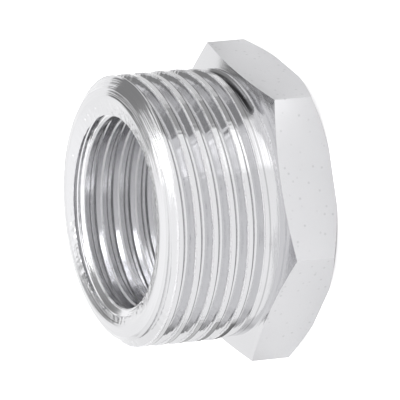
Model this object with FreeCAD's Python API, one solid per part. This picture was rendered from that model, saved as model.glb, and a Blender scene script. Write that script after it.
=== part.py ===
import FreeCAD, Part
import math
import os

# Reducing hex bushing, turned from one piece of hexagon bar.
# A male pipe thread runs over the outside, a female pipe thread through the bore.
# The axis is +Z and the part stands on the end face of its hexagon, at z = 0.
# All lengths are in millimetres and all angles in degrees.

# Overall form
overall_length = 17.35
across_flats = 27.0
head_height = 5.65

# Chamfer at the free end of the hexagon, and the shallow cone behind the collar
end_chamfer_angle = 30.0
end_face_past_flats = 0.25
shoulder_angle = 14.5

# Plain collar between the hexagon and the male thread, which runs into the last groove
collar_diameter = 25.85
collar_length = 1.8

# Whitworth pipe thread form with flat crests and sharp roots, the same for both threads.
# The pitch is that of 14 turns per inch.
thread_pitch = 25.4 / 14.0
thread_angle = 55.0
thread_depth = 1.162

# Male thread
male_major_diameter = 26.2
male_first_groove = 2.2
male_groove_count = 5

# Front end: a ring that falls away from its ridge to both sides, then a chamfer out to the crests.
# The slope is measured from the plane of the ridge, the chamfer from the axis.
front_ridge_diameter = 22.2
front_ring_diameter = 24.0
front_ring_slope = 14.5
front_chamfer_angle = 52.0

# Female thread
female_minor_diameter = 18.65
female_first_groove = 1.3
female_groove_count = 8

# Countersink at the rear mouth of the bore
rear_countersink_diameter = 21.8
countersink_angle = 45.0

# Values worked out from the sizes above
flank_slope = math.tan(math.radians(thread_angle / 2.0))
collar_end = head_height + collar_length
corner_radius = across_flats / math.sqrt(3.0)
ring_fall = math.tan(math.radians(front_ring_slope))
axis_start = FreeCAD.Vector(0, 0, 0)
axis_direction = FreeCAD.Vector(0, 0, 1)


def turned(profile):
    """Solid turned from a closed outline of (radius, height) points."""
    points = [FreeCAD.Vector(radius, 0, height) for radius, height in profile]
    wire = Part.makePolygon(points + points[:1])
    return Part.Face(wire).revolve(axis_start, axis_direction, 360)


def hexagon_bar(height):
    """Hexagon prism with two of its flats facing along Y."""
    corners = []
    for side in range(6):
        angle = math.radians(60.0 * side)
        x = corner_radius * math.cos(angle)
        y = corner_radius * math.sin(angle)
        corners.append(FreeCAD.Vector(x, y, 0))
    wire = Part.makePolygon(corners + corners[:1])
    return Part.Face(wire).extrude(FreeCAD.Vector(0, 0, height))


def head():
    """Hexagon whose corners are turned down by a cone at each end."""
    end_face_radius = across_flats / 2.0 + end_face_past_flats
    collar_radius = collar_diameter / 2.0
    rise = (across_flats - end_face_radius) * math.tan(math.radians(end_chamfer_angle))
    fall = (across_flats - collar_radius) * math.tan(math.radians(shoulder_angle))
    end_cone = turned([
        (0, 0),
        (end_face_radius, 0),
        (across_flats, rise),
        (across_flats, head_height + rise),
        (0, head_height + rise),
    ])
    shoulder_cone = turned([
        (0, head_height),
        (collar_radius, head_height),
        (across_flats, head_height - fall),
        (across_flats, -head_height),
        (0, -head_height),
    ])
    return hexagon_bar(head_height).common(end_cone).common(shoulder_cone)


def shank():
    """Collar and thread blank, with the outer side of the front ring and its chamfer."""
    collar_radius = collar_diameter / 2.0
    major_radius = male_major_diameter / 2.0
    ridge_radius = front_ridge_diameter / 2.0
    ring_radius = front_ring_diameter / 2.0
    ring_edge = overall_length - (ring_radius - ridge_radius) * ring_fall
    chamfer_length = (major_radius - ring_radius) / math.tan(math.radians(front_chamfer_angle))
    return turned([
        (0, 0),
        (collar_radius, 0),
        (collar_radius, collar_end),
        (major_radius, collar_end),
        (major_radius, ring_edge - chamfer_length),
        (ring_radius, ring_edge),
        (ridge_radius, overall_length),
        (0, overall_length),
    ])


def groove(wall_radius, side, centre_height):
    """V ring of the thread form: side is 1 for a groove outward from the wall and -1 for inward."""
    root_radius = wall_radius + side * thread_depth
    mouth_radius = wall_radius - side * thread_depth
    half_mouth = 2.0 * thread_depth * flank_slope
    return turned([
        (root_radius, centre_height),
        (mouth_radius, centre_height + half_mouth),
        (mouth_radius, centre_height - half_mouth),
    ])


def thread_grooves(wall_diameter, side, first_below_front, count):
    """Grooves one pitch apart, from the front face down."""
    grooves = []
    for turn in range(count):
        centre_height = overall_length - first_below_front - turn * thread_pitch
        grooves.append(groove(wall_diameter / 2.0, side, centre_height))
    return grooves


def bore():
    """Through hole at the crests of the female thread, with the inner side of the front ring."""
    bore_radius = female_minor_diameter / 2.0
    ridge_radius = front_ridge_diameter / 2.0
    rear_radius = rear_countersink_diameter / 2.0
    front_depth = (ridge_radius - bore_radius) * ring_fall
    rear_depth = (rear_radius - bore_radius) / math.tan(math.radians(countersink_angle))
    return turned([
        (0, 0),
        (rear_radius, 0),
        (bore_radius, rear_depth),
        (bore_radius, overall_length - front_depth),
        (ridge_radius, overall_length),
        (0, overall_length),
    ])


def hex_bushing():
    """The whole bushing as one solid."""
    male = thread_grooves(male_major_diameter, -1, male_first_groove, male_groove_count)
    female = thread_grooves(female_minor_diameter, 1, female_first_groove, female_groove_count)
    blank = head().fuse(shank()).cut(bore())
    return blank.cut(male + female).removeSplitter()


os.makedirs("parts", exist_ok=True)
bushing = hex_bushing()
bushing.exportStep("parts/hex_bushing.step")
box = bushing.optimalBoundingBox()
print("solids", len(bushing.Solids), "valid", bushing.isValid(), "volume mm3", round(bushing.Volume, 1))
print("size mm", round(box.XLength, 3), round(box.YLength, 3), round(box.ZLength, 3))
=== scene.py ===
# %% [markdown]
# # A plated reducing bushing
# The object is one piece of brass, turned from hexagon bar, threaded outside and inside, and nickel plated.
# It stands on the end face of its hexagon. The imported CAD part gives its sizes and is the frame that the
# looks are built around, so it is loaded first.

# %% Load the frame
import math

import bmesh
import bpy
from mathutils import Matrix, Vector, noise


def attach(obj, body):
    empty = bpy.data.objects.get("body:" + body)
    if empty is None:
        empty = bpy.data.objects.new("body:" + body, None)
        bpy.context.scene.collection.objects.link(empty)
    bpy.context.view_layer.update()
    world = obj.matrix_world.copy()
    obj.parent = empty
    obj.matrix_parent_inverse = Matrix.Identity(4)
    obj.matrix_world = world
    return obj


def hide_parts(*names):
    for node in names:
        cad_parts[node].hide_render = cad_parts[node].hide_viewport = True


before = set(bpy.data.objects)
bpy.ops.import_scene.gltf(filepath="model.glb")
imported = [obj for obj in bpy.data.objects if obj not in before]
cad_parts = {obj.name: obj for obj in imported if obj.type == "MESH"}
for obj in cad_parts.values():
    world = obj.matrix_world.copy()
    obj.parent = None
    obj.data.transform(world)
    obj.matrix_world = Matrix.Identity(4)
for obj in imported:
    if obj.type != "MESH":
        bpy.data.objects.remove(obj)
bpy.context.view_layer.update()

# %% [markdown]
# ## Sizes
# Both threads are parallel pipe threads of 14 turns an inch with the 55 degree Whitworth form. Every other
# size is one a maker would put on a drawing. They are written in millimetres and turned to metres once.

# %% Sizes of the bushing
MM = 0.001
PITCH = 25.4 / 14.0
FLANK_SLOPE = math.tan(math.radians(27.5))
# width across each groove at the crests, and its depth: the crests are left 0.6 mm wide
GROOVE_WIDTH = 1.21
MALE_DEPTH = 0.88
FEMALE_DEPTH = 0.8
LENGTH = 17.35
ACROSS_FLATS = 27.0
HEAD_HEIGHT = 5.65
END_FACE_RADIUS = 13.75
END_CHAMFER_SLOPE = math.tan(math.radians(30.0))
COLLAR_RADIUS = 12.925
SHOULDER_SLOPE = math.tan(math.radians(14.5))
CREST_RADIUS = 13.1
# the front end is a ring that falls away from its ridge to both sides, then a chamfer out to the crests
RIDGE_RADIUS = 11.1
RING_RADIUS = 12.0
RING_SLOPE = math.tan(math.radians(14.5))
CHAMFER_SLOPE = math.tan(math.radians(52.0))
BORE_RADIUS = 9.325
REAR_MOUTH_RADIUS = 10.9
# height of each groove's centre on the +X side, counted up from there by one pitch a turn
MALE_GROOVE_HEIGHT = 15.668
FEMALE_GROOVE_HEIGHT = 16.35
# direction of the male groove's lower end, in degrees from +X
RUN_OUT_ANGLE = -57.8
# steps round one turn of everything that is turned or wound
STEPS = 360
# the bar's edges are broken by this much
BROKEN_EDGE = 0.12
# heights between which the blank grows from the collar to the crests
BLANK_FOOT = 7.0
BLANK_TOP = 8.4
# turns that a thread cutter runs on past the front end
RUN_OVER = 2
print("pitch", round(PITCH, 4), "mm, crest width", round(PITCH - GROOVE_WIDTH, 3), "mm")

# %% [markdown]
# ## Small helpers
# Edit-mode operators act on all that is selected, so each step starts by deselecting everything. A turned
# solid is drawn as on a lathe: one vertex is extruded along half of the section, and the line is spun
# round the axis.

# %% Helpers for modelling
def start_clean():
    bpy.ops.object.select_all(action="DESELECT")


def finish_piece(name):
    piece = bpy.context.active_object
    piece.name = name
    piece.data.name = name
    return piece


def draw_outline(points):
    """Start a mesh with one vertex and extrude it along points given as (radius, height) in mm."""
    start_clean()
    bpy.ops.mesh.primitive_plane_add(size=1.0)
    bpy.ops.object.mode_set(mode="EDIT")
    bpy.ops.mesh.select_all(action="SELECT")
    bpy.ops.mesh.merge(type="CENTER")
    here = Vector((0.0, 0.0, 0.0))
    for number, (radius, height) in enumerate(points):
        there = Vector((radius * MM, 0.0, height * MM))
        if number == 0:
            bpy.ops.transform.translate(value=there - here)
        else:
            bpy.ops.mesh.extrude_vertices_move(TRANSFORM_OT_translate={"value": there - here})
        here = there


def close_mesh():
    bpy.ops.mesh.select_all(action="SELECT")
    bpy.ops.mesh.remove_doubles(threshold=1e-7)
    bpy.ops.mesh.select_all(action="SELECT")
    bpy.ops.mesh.normals_make_consistent(inside=False)
    bpy.ops.object.mode_set(mode="OBJECT")


def turned(name, points, steps=STEPS):
    """A solid turned from an outline that starts and ends on the axis."""
    draw_outline(points)
    bpy.ops.mesh.select_all(action="SELECT")
    bpy.ops.mesh.spin(steps=steps, angle=2.0 * math.pi, center=(0, 0, 0), axis=(0, 0, 1))
    close_mesh()
    return finish_piece(name)


def combine(piece, other, operation):
    """Join, cut or intersect piece with other, and remove other."""
    start_clean()
    bpy.context.view_layer.objects.active = piece
    tool = piece.modifiers.new("combine", "BOOLEAN")
    tool.operation = operation
    tool.solver = "EXACT"
    tool.object = other
    bpy.ops.object.modifier_apply(modifier=tool.name)
    bpy.data.objects.remove(other, do_unlink=True)
    print(piece.name, operation.lower(), "-> faces", len(piece.data.polygons))


# %% [markdown]
# ## The hexagon
# On the real piece the hexagon is what is left of the bar. A six-sided cylinder is the bar, and a turned
# shape takes its corners off: a 30 degree chamfer at the free end and a shallow cone behind the collar. A
# narrow bevel then breaks the edges, as tumbling and plating do on the real one.

# %% Model the hexagon
start_clean()
bpy.ops.mesh.primitive_cylinder_add(
    vertices=6,
    radius=ACROSS_FLATS / math.sqrt(3.0) * MM,
    depth=HEAD_HEIGHT * MM,
    location=(0, 0, HEAD_HEIGHT / 2.0 * MM),
    rotation=(0, 0, math.radians(30.0)),
)
bpy.ops.object.transform_apply(location=True, rotation=True, scale=True)
bushing = finish_piece("threaded_hex_bushing")
# the turned shape reaches past the corners of the hexagon
reach = 18.0
end_rise = (reach - END_FACE_RADIUS) * END_CHAMFER_SLOPE
shoulder_fall = (reach - COLLAR_RADIUS) * SHOULDER_SLOPE
turned_envelope = turned("turned_envelope", [
    (0, 0), (END_FACE_RADIUS, 0), (reach, end_rise), (reach, HEAD_HEIGHT - shoulder_fall),
    (COLLAR_RADIUS, HEAD_HEIGHT), (0, HEAD_HEIGHT),
])
combine(bushing, turned_envelope, "INTERSECT")
start_clean()
bpy.context.view_layer.objects.active = bushing
edges = bushing.modifiers.new("broken_edges", "BEVEL")
edges.width = BROKEN_EDGE * MM
edges.segments = 2
edges.limit_method = "ANGLE"
edges.angle_limit = math.radians(25.0)
bpy.ops.object.modifier_apply(modifier=edges.name)
print("hexagon faces", len(bushing.data.polygons))

# %% [markdown]
# ## The shank
# The collar and the thread blank are one turned shape. The blank grows by a hair from the collar to the
# crests. At the front a chamfer leads the thread in, and the end of the piece is a ring. It falls away from a
# softly rounded ridge, outward to the chamfer and inward to the bore. The bore is a turned shape too, taken
# away from the whole.

# %% Model the shank and join it to the hexagon
def ring_height(radius):
    """Height of the front ring at a radius, with its ridge rounded over 0.15 mm to each side."""
    soft = 0.15
    away = abs(radius - RIDGE_RADIUS)
    if away < soft:
        return LENGTH - RING_SLOPE * away * away / (2.0 * soft)
    return LENGTH - RING_SLOPE * (away - soft / 2.0)


ring_edge = ring_height(RING_RADIUS)
chamfer = (CREST_RADIUS - RING_RADIUS) / CHAMFER_SLOPE
outer_ring = [RING_RADIUS, 11.85, 11.4, 11.25, 11.17, RIDGE_RADIUS]
inner_ring = [11.03, 10.95, 10.8, 10.45, 10.25, 9.95, 9.65, BORE_RADIUS]
# the shank starts inside the hexagon, and the bore's cutter runs past both ends, by this much
overlap = 1.0
shank = turned("shank", [
    (0, overlap), (COLLAR_RADIUS, overlap), (COLLAR_RADIUS, BLANK_FOOT),
    (CREST_RADIUS, BLANK_TOP), (CREST_RADIUS, ring_edge - chamfer),
    *[(radius, ring_height(radius)) for radius in outer_ring + inner_ring],
    (BORE_RADIUS - overlap, ring_height(BORE_RADIUS)), (0, ring_height(BORE_RADIUS)),
])
combine(bushing, shank, "UNION")
rear_sink = REAR_MOUTH_RADIUS - BORE_RADIUS
bore = turned("bore", [
    (0, -overlap), (REAR_MOUTH_RADIUS + overlap, -overlap), (BORE_RADIUS, rear_sink),
    (BORE_RADIUS, LENGTH + overlap), (0, LENGTH + overlap),
])
combine(bushing, bore, "DIFFERENCE")

# %% [markdown]
# ## The threads
# A thread is a groove of one section wound along a right-hand helix. The section is drawn once as a closed
# loop and the Screw modifier winds it, which is how the tool moves past the work on the lathe. The two ends
# of the wound bar are closed, and it is cut from the blank. The male groove stops short of the hexagon, where
# the tool was pulled out. No operator narrows a bar along a helix, so the points of its first degrees are
# moved in code.

# %% Wind a thread cutter
def wound_cutter(name, wall_radius, side, depth, height, angle, turns):
    """A bar with the groove's section, wound up from height at the given angle."""
    # the bar stands out past the wall by over, and its root corners are eased by fillet, both in mm
    over = 0.3
    fillet = 0.09
    root = wall_radius + side * depth
    mouth = wall_radius - side * over
    eased = root - side * fillet
    half_root = GROOVE_WIDTH / 2.0 - depth * FLANK_SLOPE
    half_mouth = GROOVE_WIDTH / 2.0 + over * FLANK_SLOPE
    half_eased = half_root + fillet * FLANK_SLOPE
    half_flat = half_root * 0.7
    draw_outline([
        (root, height - half_flat), (root, height + half_flat), (eased, height + half_eased),
        (mouth, height + half_mouth), (mouth, height - half_mouth), (eased, height - half_eased),
        (root, height - half_flat),
    ])
    bpy.ops.mesh.select_all(action="SELECT")
    bpy.ops.mesh.remove_doubles(threshold=1e-7)
    bpy.ops.transform.rotate(value=-math.radians(angle), orient_axis="Z", center_override=(0, 0, 0))
    bpy.ops.object.mode_set(mode="OBJECT")
    cutter = finish_piece(name)
    winding = cutter.modifiers.new("winding", "SCREW")
    winding.axis = "Z"
    winding.angle = 2.0 * math.pi
    winding.screw_offset = PITCH * MM
    winding.steps = STEPS
    winding.render_steps = STEPS
    winding.iterations = turns
    winding.use_merge_vertices = False
    bpy.ops.object.modifier_apply(modifier=winding.name)
    bpy.ops.object.mode_set(mode="EDIT")
    bpy.ops.mesh.select_all(action="DESELECT")
    bpy.ops.mesh.select_mode(type="EDGE")
    bpy.ops.mesh.select_non_manifold(extend=False, use_wire=False, use_boundary=True,
                                     use_multi_face=False, use_non_contiguous=False, use_verts=False)
    bpy.ops.mesh.fill_holes(sides=0)
    bpy.ops.mesh.select_mode(type="VERT")
    close_mesh()
    return cutter


def groove_height(height_at_x, angle):
    return height_at_x + PITCH * angle / 360.0


def round_start(cutter, height, angle):
    """Narrow and lift the first degrees of the cutter, so that the groove ends in a rounded spoon."""
    over = 5.0
    least = 0.2
    for vertex in cutter.data.vertices:
        x, y, z = vertex.co / MM
        wound = (math.degrees(math.atan2(y, x)) - angle + 1.0) % 360.0 - 1.0
        middle = height + PITCH * wound / 360.0
        if wound < over - 0.01 and abs(z - middle) < PITCH / 2.0:
            share = max(math.sqrt(1.0 - (1.0 - max(wound, 0.0) / over) ** 2), least)
            radius = math.hypot(x, y)
            eased = COLLAR_RADIUS - (COLLAR_RADIUS - radius) * share
            outward = 1.0 if radius > COLLAR_RADIUS else eased / radius
            vertex.co = Vector((x * outward, y * outward, middle + (z - middle) * share)) * MM


male_turns = 5
male_start = groove_height(MALE_GROOVE_HEIGHT, RUN_OUT_ANGLE) - male_turns * PITCH
male_cutter = wound_cutter(
    "male_thread_cutter", CREST_RADIUS, -1, MALE_DEPTH, male_start, RUN_OUT_ANGLE, male_turns + RUN_OVER)
round_start(male_cutter, male_start, RUN_OUT_ANGLE)
combine(bushing, male_cutter, "DIFFERENCE")
female_turns = 10
female_start = groove_height(FEMALE_GROOVE_HEIGHT, 0.0) - female_turns * PITCH
female_cutter = wound_cutter(
    "female_thread_cutter", BORE_RADIUS, 1, FEMALE_DEPTH, female_start, 0.0, female_turns + RUN_OVER)
combine(bushing, female_cutter, "DIFFERENCE")

# %% [markdown]
# ## Torn edges
# The thread tool tears the front edge of every crest, and the mouth of the bore, where its first groove
# opens. By hand one would drag points with proportional editing. Here the points on those edges are pushed
# about by some hundredths of a millimetre with a fixed noise, so that every run gives the same piece.

# %% Tear the edges of the crests and of the mouth
CREST_BURR = 0.03
MOUTH_BURR = 0.05


def tear(place, size, grain, shift):
    """Offset in metres for a place in metres: mostly within size mm, with one bump every grain mm.
    The shift picks another part of the noise, so that two offsets don't move together."""
    at = place / (grain * MM) + Vector((shift, 0.0, 0.0))
    return noise.noise(at) * size * MM * 2.0


torn = 0
for vertex in bushing.data.vertices:
    place = vertex.co.copy()
    radius = math.hypot(place.x, place.y) / MM
    height = place.z / MM
    outward = Vector((place.x, place.y, 0.0)).normalized()
    angle = math.degrees(math.atan2(place.y, place.x))
    turns_up = (height - groove_height(MALE_GROOVE_HEIGHT, angle)) / PITCH
    from_edge = (turns_up - round(turns_up)) * PITCH + GROOVE_WIDTH / 2.0
    if abs(radius - CREST_RADIUS) < 0.01 and abs(from_edge) < 0.02 and height > 7.5:
        vertex.co += outward * min(abs(tear(place, CREST_BURR, 0.5, 0.0)), CREST_BURR * MM)
        vertex.co.z += tear(place, CREST_BURR, 0.4, 9.0)
        torn += 1
    elif radius < RIDGE_RADIUS - 0.4 and abs(height - ring_height(radius)) < 0.01:
        vertex.co += outward * tear(place, MOUTH_BURR, 0.24, 4.0)
        vertex.co.z -= abs(tear(place, MOUTH_BURR, 0.22, 7.0))
        torn += 1
bushing.data.update()
print("points torn", torn)

# %% [markdown]
# ## Shading and a check
# Curved surfaces are shaded smooth and every real edge stays sharp. 15 degrees lies between the steps of the
# turned curves and the corner where a thread's flank meets its root. Then the box, the triangles and the
# closed edges are counted, because a cut that went wrong shows there first.

# %% Smooth the shading and measure the piece
start_clean()
bpy.context.view_layer.objects.active = bushing
bushing.select_set(True)
bpy.ops.object.shade_smooth_by_angle(angle=math.radians(15.0))
low = [min(v.co[i] for v in bushing.data.vertices) * 1000 for i in range(3)]
high = [max(v.co[i] for v in bushing.data.vertices) * 1000 for i in range(3)]
check = bmesh.new()
check.from_mesh(bushing.data)
open_edges = sum(1 for e in check.edges if len(e.link_faces) != 2)
triangles = sum(len(f.verts) - 2 for f in check.faces)
check.free()
print("from", [round(v, 3) for v in low], "to", [round(v, 3) for v in high], "mm")
print("triangles", triangles, "edges without two faces", open_edges)

# %% [markdown]
# ## Finishes
# Nickel over brass is a pale, nearly neutral metal. The turned surfaces are bright and carry the fine lines
# that the tool left, and the hexagon's flats keep the drawn bar's satin skin with small pits. Both come from
# patterns worked out in the material, so they stay sharp at any distance.

# %% Helpers for materials
def linear(hex_colour):
    """An sRGB hex colour as the linear RGBA that Blender wants."""
    values = []
    for i in (0, 2, 4):
        c = int(hex_colour[i:i + 2], 16) / 255.0
        values.append(c / 12.92 if c <= 0.04045 else ((c + 0.055) / 1.055) ** 2.4)
    return (*values, 1.0)


def add(tree, kind, inputs=None, **settings):
    """Add a node, set its settings, and link or set its inputs by name or number."""
    node = tree.nodes.new(kind)
    for key, value in settings.items():
        setattr(node, key, value)
    for key, value in (inputs or {}).items():
        socket = node.inputs[key]
        if isinstance(value, bpy.types.NodeSocket):
            tree.links.new(value, socket)
        else:
            socket.default_value = value
    return node


def new_material(name):
    material = bpy.data.materials.new(name)
    material.use_nodes = True
    material.node_tree.nodes.clear()
    return material, material.node_tree


# %% Helpers for patterns
def ramp(tree, value, low, high, at_low=0.0, at_high=1.0):
    """Value eased from at_low to at_high while it goes from low to high."""
    return add(tree, "ShaderNodeMapRange", {
        "Value": value, "From Min": low, "From Max": high, "To Min": at_low, "To Max": at_high,
    }, interpolation_type="SMOOTHSTEP").outputs[0]


def arithmetic(tree, operation, *values):
    """One math node on one, two or three values."""
    return add(tree, "ShaderNodeMath", dict(enumerate(values)), operation=operation).outputs[0]


def product(tree, first, *others):
    """Two or more values multiplied."""
    for other in others:
        first = arithmetic(tree, "MULTIPLY", first, other)
    return first


def covered(tree, share, under, over):
    """One colour laid over another by a share."""
    return add(tree, "ShaderNodeMix", {0: share, 6: under, 7: over}, data_type="RGBA").outputs[2]


def noise_field(tree, place, scale, detail=2.0, roughness=0.5):
    """A noise pattern with scale bumps for each unit of place."""
    return add(tree, "ShaderNodeTexNoise", {
        "Vector": place, "Scale": scale, "Detail": detail, "Roughness": roughness,
    }).outputs["Fac"]


# %% [markdown]
# ## Patterns that follow a thread
# What the tool leaves on a thread runs along its helix. So each point gets a phase: zero in the middle of the
# groove, and one full circle from each turn to the next. Lines, burrs and the painted shade on the crests'
# rear edges are all drawn with it.

# %% Where a point lies on a thread
def thread_spot(tree, groove_height):
    """Values at a point: place, x, z and radius in metres, the radius in mm, and the phase."""
    place = add(tree, "ShaderNodeTexCoord").outputs["Object"]
    split = add(tree, "ShaderNodeSeparateXYZ", {0: place})
    x, y, z = split.outputs[0], split.outputs[1], split.outputs[2]
    flat_place = add(tree, "ShaderNodeVectorMath", {0: place, 1: (1, 1, 0)}, operation="MULTIPLY").outputs[0]
    radius = add(tree, "ShaderNodeVectorMath", {0: flat_place}, operation="LENGTH").outputs["Value"]
    from_groove = arithmetic(tree, "SUBTRACT", z, groove_height * MM)
    rising = product(tree, from_groove, 2.0 * math.pi / (PITCH * MM))
    phase = arithmetic(tree, "SUBTRACT", rising, arithmetic(tree, "ARCTAN2", y, x))
    return {"place": place, "x": x, "z": z, "radius": radius,
            "radius_mm": product(tree, radius, 1000.0), "phase": phase}


# %% Tool lines along the thread
def tool_lines(tree, spot):
    """Height of the lines that the tool left: fine ones everywhere, and chatter on the lead-in."""
    # one turn of the phase is one pitch, so a ring of 0.29 mm radius has the pitch as its length
    ring = PITCH / (2.0 * math.pi)
    line_place = add(tree, "ShaderNodeCombineXYZ", {
        0: product(tree, arithmetic(tree, "COSINE", spot["phase"]), ring),
        1: product(tree, arithmetic(tree, "SINE", spot["phase"]), ring),
        2: spot["radius_mm"],
    }).outputs[0]
    # fine lines 0.1 to 0.2 mm apart, deeper in some places than in others, over some 4 mm
    fine = noise_field(tree, line_place, 9.0, roughness=0.6)
    depth = ramp(tree, noise_field(tree, spot["place"], 250.0, detail=1.0), 0.3, 0.7, 0.35, 1.0)
    # the lead-in starts where the chamfer meets the crests
    start, full = 16.1 * MM, 16.4 * MM
    fine_height = product(tree, fine, product(tree, depth, ramp(tree, spot["z"], start, full, 1.0, 4.0)))
    # chatter about 0.25 mm apart
    chatter = noise_field(tree, line_place, 4.5)
    chatter_depth = ramp(tree, spot["z"], start, full, 0.0, 34.0)
    return arithmetic(tree, "MULTIPLY_ADD", chatter, chatter_depth, fine_height)


# %% Edges of the crests
def crest_edges(tree, spot, wall_radius):
    """Masks for the front edge of each crest, which is torn, and for its rear edge, which carries painted
    shade.
    """
    edge_phase = math.pi * GROOVE_WIDTH / PITCH
    off_wall = arithmetic(tree, "ABSOLUTE", arithmetic(tree, "SUBTRACT", spot["radius_mm"], wall_radius))
    on_crest = ramp(tree, off_wall, 0.08, 0.25, 1.0, 0.0)
    # the torn line is 0.1 to 0.2 mm wide, and heavier in patches of 2 mm
    to_front = arithmetic(tree, "COSINE", arithmetic(tree, "ADD", spot["phase"], edge_phase))
    heavy = ramp(tree, noise_field(tree, spot["place"], 480.0), 0.4, 0.6, 0.35, 1.0)
    front = product(tree, ramp(tree, to_front, math.cos(0.34), math.cos(0.2)), on_crest, heavy)
    # the painted shade line is as wide
    to_rear = arithmetic(tree, "COSINE", arithmetic(tree, "SUBTRACT", spot["phase"], edge_phase))
    rear = product(tree, ramp(tree, to_rear, math.cos(0.32), math.cos(0.2)), on_crest)
    return front, rear


# %% Painted shade in the last turn
def painted_groove_shade(tree, spot, wall_radius):
    """Mask for painted shade in the root of the last turn, where the tool was pulled out."""
    along = product(tree, spot["phase"], PITCH / (2.0 * math.pi))
    last_turn = ramp(tree, along, -4.55 * PITCH, -4.45 * PITCH, 1.0, 0.0)
    deep = ramp(tree, arithmetic(tree, "SUBTRACT", wall_radius, spot["radius_mm"]), 0.35, 0.55)
    # it lies on the +X side, and thins out toward the end of the groove
    on_side = ramp(tree, arithmetic(tree, "DIVIDE", spot["x"], spot["radius"]), 0.4, 0.78)
    return product(tree, last_turn, product(tree, deep, on_side))


# %% [markdown]
# ## Bright plating on turned surfaces
# Metal is a mirror, so what the eye reads as its finish is how the mirror is broken: by lines, by grain, and
# by burrs. The burrs also carry a painted highlight: their specks are painted near white and made less
# metallic, so they stay pale where the crest behind them mirrors something dark. One function makes the
# finish for the male thread, the front ring and the bore, each with its own amounts.

# %% Bright plating on turned surfaces
def turned_plating(name, colour, roughness, line_bump, groove_height, wall_radius, burrs, grain_bump=0.1,
                   edge_shade_share=0.75, groove_shade=0.0):
    """Bright nickel with tool lines along the thread, burrs with a painted highlight on the front edge of its
    crests, and painted shade along their rear edges.
    """
    material, tree = new_material(name)
    spot = thread_spot(tree, groove_height)
    front_edge, rear_edge_shade = crest_edges(tree, spot, wall_radius)
    # a burr is made of specks of about 0.1 mm
    torn = noise_field(tree, spot["place"], 8500.0, roughness=0.6)
    # painted highlight: the burr specks are painted near white, on top of their real bumps
    pale = product(tree, front_edge, ramp(tree, torn, 0.38, 0.52), burrs)
    # painted shade: a near-black line along each crest's rear edge
    tint = covered(tree, product(tree, rear_edge_shade, edge_shade_share), linear(colour), linear("4A4A4C"))
    tint = covered(tree, pale, tint, linear("FAFAFC"))
    if groove_shade:
        # painted shade: near black in the root of the last turn
        shaded_root = product(tree, painted_groove_shade(tree, spot, wall_radius), groove_shade)
        tint = covered(tree, shaded_root, tint, linear("202022"))
    # the mirror is softer in some places than in others, over some 4 mm
    cloud = noise_field(tree, spot["place"], 260.0)
    smooth = ramp(tree, cloud, 0.3, 0.7, roughness * 0.75, roughness * 1.3)
    # plating grain of about 0.2 mm
    grain = noise_field(tree, spot["place"], 5000.0)
    bump_lines = add(tree, "ShaderNodeBump", {
        "Height": tool_lines(tree, spot), "Strength": line_bump, "Distance": 0.1 * MM,
    })
    bump_burr = add(tree, "ShaderNodeBump", {
        "Height": product(tree, front_edge, torn), "Strength": burrs * 0.7, "Distance": 0.1 * MM,
        "Normal": bump_lines.outputs[0],
    })
    bump = add(tree, "ShaderNodeBump", {
        "Height": grain, "Strength": grain_bump, "Distance": 0.03 * MM, "Normal": bump_burr.outputs[0],
    })
    # the burrs' painted highlight also lowers their metallic share
    shader = add(tree, "ShaderNodeBsdfPrincipled", {
        "Base Color": tint, "Metallic": arithmetic(tree, "MULTIPLY_ADD", pale, -0.6, 1.0),
        "Roughness": arithmetic(tree, "MULTIPLY_ADD", front_edge, 0.4, smooth), "Normal": bump.outputs[0],
    })
    add(tree, "ShaderNodeOutputMaterial", {"Surface": shader.outputs[0]})
    return material


# %% [markdown]
# ## Satin plating on the flats
# The flats are the skin of the drawn bar. It is dull beside the turned surfaces, with a fine grain and a few
# small pits, so it gives the eye an even grey with no mirror image in it.

# %% Satin plating on the flats of the bar
def drawn_plating(name, colour, roughness):
    """Satin nickel over drawn bar, with grain and thinly scattered pits whose bottoms carry painted shade."""
    material, tree = new_material(name)
    place = add(tree, "ShaderNodeTexCoord").outputs["Object"]
    # pits of about 0.3 mm
    cells = add(tree, "ShaderNodeTexVoronoi", {"Vector": place, "Scale": 1300.0, "Randomness": 1.0})
    pit = add(tree, "ShaderNodeMapRange", {
        "Value": cells.outputs["Distance"], "From Min": 0.0, "From Max": 0.22, "To Min": 0.0, "To Max": 1.0,
    }).outputs[0]
    # painted shade: the pits' bottoms are painted a darker grey; their bumps are real
    tint = covered(tree, pit, linear("C2C2C4"), linear(colour))
    # the dullness drifts over some 5 mm
    rough = add(tree, "ShaderNodeMapRange", {
        "Value": noise_field(tree, place, 220.0, detail=3.0), "From Min": 0.3, "From Max": 0.7,
        "To Min": roughness - 0.05, "To Max": roughness + 0.07,
    }).outputs[0]
    bump_pits = add(tree, "ShaderNodeBump", {"Height": pit, "Strength": 0.5, "Distance": 0.04 * MM})
    bump = add(tree, "ShaderNodeBump", {
        "Height": noise_field(tree, place, 6000.0), "Strength": 0.5, "Distance": 0.03 * MM,
        "Normal": bump_pits.outputs[0],
    })
    shader = add(tree, "ShaderNodeBsdfPrincipled", {
        "Base Color": tint, "Metallic": 1.0, "Roughness": rough, "Normal": bump.outputs[0],
    })
    add(tree, "ShaderNodeOutputMaterial", {"Surface": shader.outputs[0]})
    return material


# %% The four finishes
# the male thread: bright, with fine lines, burrs with a painted highlight, and painted shade in the root of
# its last turn
bright_plating = turned_plating(
    "nickel_plated_male_thread", "DADADC", roughness=0.1, line_bump=0.14, groove_height=MALE_GROOVE_HEIGHT,
    wall_radius=CREST_RADIUS, burrs=1.0, groove_shade=0.8)
# the front ring: faced in one cut, so it is the clearest mirror
face_plating = turned_plating(
    "nickel_plated_faced_brass", "E0E0E2", roughness=0.08, line_bump=0.1, groove_height=MALE_GROOVE_HEIGHT,
    wall_radius=CREST_RADIUS, burrs=0.0, grain_bump=0.12, edge_shade_share=0.0)
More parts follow.
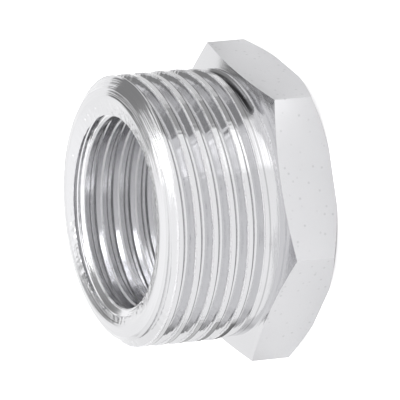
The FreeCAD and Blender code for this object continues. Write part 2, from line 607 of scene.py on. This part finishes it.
# the flats: satin
satin_plating = drawn_plating("nickel_plated_drawn_bar", "DADADC", roughness=0.42)
# the bore: a little softer than the outside; its paler colour is painted light that lifts the shade inside it
bore_plating = turned_plating(
    "nickel_plated_female_thread", "F0F0F2", roughness=0.14, line_bump=0.09,
    groove_height=FEMALE_GROOVE_HEIGHT, wall_radius=BORE_RADIUS, burrs=0.7)
print("finishes", [m.name for m in (bright_plating, face_plating, satin_plating, bore_plating)])

# %% [markdown]
# ## A finish for each face
# The faces are given to the four finishes by their place: the flats stand outside the collar and face
# sideways, the front ring faces up at the top, the bore's faces lie inside, and the rest was turned.

# %% Give each face its finish
bushing.data.materials.clear()
for material in (bright_plating, face_plating, satin_plating, bore_plating):
    bushing.data.materials.append(material)
flat_distance = ACROSS_FLATS / 2.0 * MM
for face in bushing.data.polygons:
    middle, normal = face.center, face.normal
    sideways = abs(normal.z) < 0.2
    distance = math.hypot(middle.x, middle.y)
    outside = distance > flat_distance - 0.2 * MM
    if sideways and outside and middle.z < HEAD_HEIGHT * MM:
        face.material_index = 2
    elif normal.z > 0.9 and middle.z > (ring_height(BORE_RADIUS) - 0.1) * MM:
        face.material_index = 1
    elif normal.z < -0.99 and middle.z < 0.05 * MM:
        face.material_index = 1
    elif distance < REAR_MOUTH_RADIUS * MM:
        face.material_index = 3
    else:
        face.material_index = 0
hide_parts("hex_bushing")
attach(bushing, "root")

# %% [markdown]
# ## The floor
# The bushing stands on a plain white floor. A little of its light is its own, so that it stays white to the
# camera, and less of it shows in the metal.

# %% Floor
start_clean()
bpy.ops.mesh.primitive_plane_add(size=4.0, location=(0, 0, 0))
floor = finish_piece("floor")
floor_material, tree = new_material("white_floor")
path = add(tree, "ShaderNodeLightPath")
paper = add(tree, "ShaderNodeBsdfDiffuse", {"Color": linear("F2F2F2")})
reflected = add(tree, "ShaderNodeMath", {0: path.outputs["Is Glossy Ray"], 1: 0.16}, operation="MULTIPLY")
seen = add(tree, "ShaderNodeMath", {0: path.outputs["Is Camera Ray"], 1: 0.6, 2: reflected.outputs[0]},
           operation="MULTIPLY_ADD")
glow = add(tree, "ShaderNodeEmission", {"Color": (1, 1, 1, 1), "Strength": seen.outputs[0]})
lit = add(tree, "ShaderNodeAddShader", {0: paper.outputs[0], 1: glow.outputs[0]})
add(tree, "ShaderNodeOutputMaterial", {"Surface": lit.outputs[0]})
floor.data.materials.append(floor_material)

# %% [markdown]
# ## The room
# Metal shows what is round it. The room is pale, a little brighter overhead, with a large dark patch on the
# +X side that shapes the front ring, and smaller patches beside it.

# %% World
world = bpy.data.worlds.new("soft_studio")
bpy.context.scene.world = world
world.use_nodes = True
tree = world.node_tree
tree.nodes.clear()
path = add(tree, "ShaderNodeLightPath")
direction = add(tree, "ShaderNodeTexCoord").outputs["Generated"]
height = add(tree, "ShaderNodeSeparateXYZ", {0: direction}).outputs[2]
level = add(tree, "ShaderNodeMapRange", {
    "Value": height, "From Min": 0.4, "From Max": 0.75, "To Min": 1.05, "To Max": 1.17,
}, interpolation_type="SMOOTHSTEP").outputs[0]


def room_patch(azimuth, elevation, inner, outer, share):
    """A soft round patch of the room in a direction. Angles are in degrees. Inside the inner angle the room's
    light is multiplied by the share, and beyond the outer one it is left alone."""
    a, e = math.radians(azimuth), math.radians(elevation)
    middle = (math.cos(a) * math.cos(e), math.sin(a) * math.cos(e), math.sin(e))
    toward = add(tree, "ShaderNodeVectorMath", {0: direction, 1: middle}, operation="DOT_PRODUCT")
    return add(tree, "ShaderNodeMapRange", {
        "Value": toward.outputs["Value"], "From Min": math.cos(math.radians(outer)),
        "From Max": math.cos(math.radians(inner)), "To Min": 1.0, "To Max": share,
    }, interpolation_type="SMOOTHSTEP").outputs[0]


shade = level
patches = [
    room_patch(azimuth=40.0, elevation=35.0, inner=24.0, outer=26.5, share=0.27),
    room_patch(azimuth=69.0, elevation=35.0, inner=9.0, outer=11.5, share=0.6),
    room_patch(azimuth=128.0, elevation=-2.0, inner=8.0, outer=16.0, share=0.4),
    room_patch(azimuth=73.0, elevation=49.0, inner=4.0, outer=8.0, share=1.2),
]
for patch in patches:
    shade = add(tree, "ShaderNodeMath", {0: shade, 1: patch}, operation="MULTIPLY").outputs[0]
room = add(tree, "ShaderNodeBackground", {"Color": (1, 1, 1, 1), "Strength": shade})
white = add(tree, "ShaderNodeBackground", {"Color": (1, 1, 1, 1), "Strength": 1.0})
mixed = add(tree, "ShaderNodeMixShader", {
    0: path.outputs["Is Camera Ray"], 1: room.outputs[0], 2: white.outputs[0],
})
add(tree, "ShaderNodeOutputWorld", {"Surface": mixed.outputs[0]})
print("patches in the room", len(patches))

# %% [markdown]
# ## The lamp
# The room gives nearly all the light. One weak, large lamp overhead adds a soft gleam.

# %% Lamp
def softbox(name, place, size, energy):
    """A square lamp at a place in metres, facing the bushing."""
    data = bpy.data.lights.new(name, "AREA")
    data.shape = "SQUARE"
    data.size = size
    data.energy = energy
    lamp = bpy.data.objects.new(name, data)
    lamp.location = place
    lamp.rotation_euler = Vector(place).to_track_quat("Z", "Y").to_euler()
    bpy.context.scene.collection.objects.link(lamp)
    print(name, "radiance", round(energy / (math.pi * size * size), 2))


softbox("overhead_softbox", (0.112, 0.096, 0.4), 0.11, 0.1)

# %% [markdown]
# ## Cards
# Polished metal is photographed with cards round it that give it bands of light and dark. These cards lie on
# the floor beside the bushing. Only reflections see them, so the floor stays plain. Toward the right of the
# picture a flank mirrors the floor at 23 to 30 mm from the axis, and a crest at 37 to 45 mm.

# %% Cards for the reflections
def card(name, middle, half, soft, inner, outer, at_inner, at_outer):
    """A flat ring sector on the floor. Angles are in degrees from +X and radii in mm. Its brightness goes
    from at_inner to at_outer along the radius, and its two sides fade out over soft degrees."""
    start_clean()
    bpy.ops.mesh.primitive_plane_add(size=1.0)
    bpy.ops.object.mode_set(mode="EDIT")
    bpy.ops.mesh.select_all(action="SELECT")
    bpy.ops.mesh.merge(type="CENTER")
    bpy.ops.transform.translate(value=(inner * MM, 0, 0.1 * MM))
    bpy.ops.mesh.extrude_vertices_move(TRANSFORM_OT_translate={"value": ((outer - inner) * MM, 0, 0)})
    bpy.ops.mesh.select_all(action="SELECT")
    bpy.ops.transform.rotate(value=math.radians(half - middle), orient_axis="Z", center_override=(0, 0, 0))
    bpy.ops.mesh.spin(steps=24, angle=-math.radians(2.0 * half), center=(0, 0, 0), axis=(0, 0, 1))
    bpy.ops.object.mode_set(mode="OBJECT")
    piece = finish_piece(name)
    material, tree = new_material(name)
    place = add(tree, "ShaderNodeTexCoord").outputs["Object"]
    flat_place = add(tree, "ShaderNodeVectorMath", {0: place, 1: (1, 1, 0)}, operation="MULTIPLY").outputs[0]
    radius = add(tree, "ShaderNodeVectorMath", {0: flat_place}, operation="LENGTH").outputs["Value"]
    toward = (math.cos(math.radians(middle)), math.sin(math.radians(middle)), 0.0)
    along = add(tree, "ShaderNodeVectorMath", {0: flat_place, 1: toward}, operation="DOT_PRODUCT")
    off_middle = arithmetic(tree, "ARCCOSINE", arithmetic(tree, "DIVIDE", along.outputs["Value"], radius))
    cover = ramp(tree, off_middle, math.radians(half - soft), math.radians(half), 1.0, 0.0)
    strength = ramp(tree, radius, inner * MM, outer * MM, at_inner, at_outer)
    light = add(tree, "ShaderNodeEmission", {"Color": (1, 1, 1, 1), "Strength": strength})
    clear = add(tree, "ShaderNodeBsdfTransparent")
    shown = add(tree, "ShaderNodeMixShader", {0: cover, 1: clear.outputs[0], 2: light.outputs[0]})
    add(tree, "ShaderNodeOutputMaterial", {"Surface": shown.outputs[0]})
    piece.data.materials.append(material)
    piece.visible_camera = False
    piece.visible_diffuse = False
    piece.visible_shadow = False
    where = [v.co for v in piece.data.vertices]
    print(name, "x", round(min(v.x for v in where) * 1000), "to", round(max(v.x for v in where) * 1000), "mm")


# the dark side, beside and beyond the male thread
card("dark_card", middle=-24.0, half=20.0, soft=6.0, inner=20.0, outer=62.0, at_inner=0.42, at_outer=0.42)
card("near_grey_card", middle=15.0, half=30.0, soft=9.0, inner=22.0, outer=46.0, at_inner=0.7, at_outer=0.9)
card("far_dark_card", middle=14.0, half=32.0, soft=9.0, inner=46.0, outer=95.0, at_inner=0.75, at_outer=0.25)
# the shadow behind the lower turns
card("shadow_card", middle=141.0, half=33.0, soft=14.0, inner=18.0, outer=44.0, at_inner=0.1, at_outer=1.0)
card("far_shadow_card", middle=138.0, half=30.0, soft=12.0, inner=44.0, outer=120.0,
     at_inner=1.0, at_outer=0.4)
card("farthest_shadow_card", middle=134.0, half=26.0, soft=12.0, inner=120.0, outer=900.0,
     at_inner=0.4, at_outer=0.35)
# the white gleams on the flanks and in the bore
card("bright_card", middle=-62.0, half=16.0, soft=4.0, inner=21.0, outer=30.5, at_inner=1.05, at_outer=2.2)
card("bore_card", middle=-15.0, half=26.0, soft=6.0, inner=3.5, outer=9.2, at_inner=3.0, at_outer=3.0)

# %% [markdown]
# ## The camera
# The view is from a long lens, 24 degrees above the floor, so the bushing is drawn nearly without
# perspective. The camera is turned on its side, which lays the axis of the piece across the picture.

# %% Camera
CAMERA_AZIMUTH = math.radians(-96.14162)
CAMERA_ELEVATION = math.radians(24.05648)
CAMERA_ROLL = math.radians(-95.45038)
CAMERA_DISTANCE = 939.66
AIM_HEIGHT = 8.0
camera_data = bpy.data.cameras.new("camera")
camera = bpy.data.objects.new("camera", camera_data)
bpy.context.scene.collection.objects.link(camera)
bpy.context.scene.camera = camera
back = Vector((
    math.cos(CAMERA_ELEVATION) * math.cos(CAMERA_AZIMUTH),
    math.cos(CAMERA_ELEVATION) * math.sin(CAMERA_AZIMUTH),
    math.sin(CAMERA_ELEVATION),
))
level_right = Vector((-math.sin(CAMERA_AZIMUTH), math.cos(CAMERA_AZIMUTH), 0.0))
level_up = back.cross(level_right)
right = level_right * math.cos(CAMERA_ROLL) + level_up * math.sin(CAMERA_ROLL)
turn = Matrix((right, back.cross(right), back)).transposed().to_4x4()
aim = Vector((0.0, 0.0, AIM_HEIGHT * MM))
camera.matrix_world = Matrix.Translation(aim + back * CAMERA_DISTANCE * MM) @ turn
camera_data.sensor_width = 36.0
camera_data.lens = 879.675
camera_data.shift_x = -0.00219
camera_data.shift_y = 0.01026
camera_data.clip_start = 0.01
print("camera", [round(v, 4) for v in camera.matrix_world.translation])

# %% [markdown]
# ## The end
# Colours are shown as they are, with no film curve.

# %% View settings and finish
bpy.context.scene.view_settings.view_transform = "Standard"
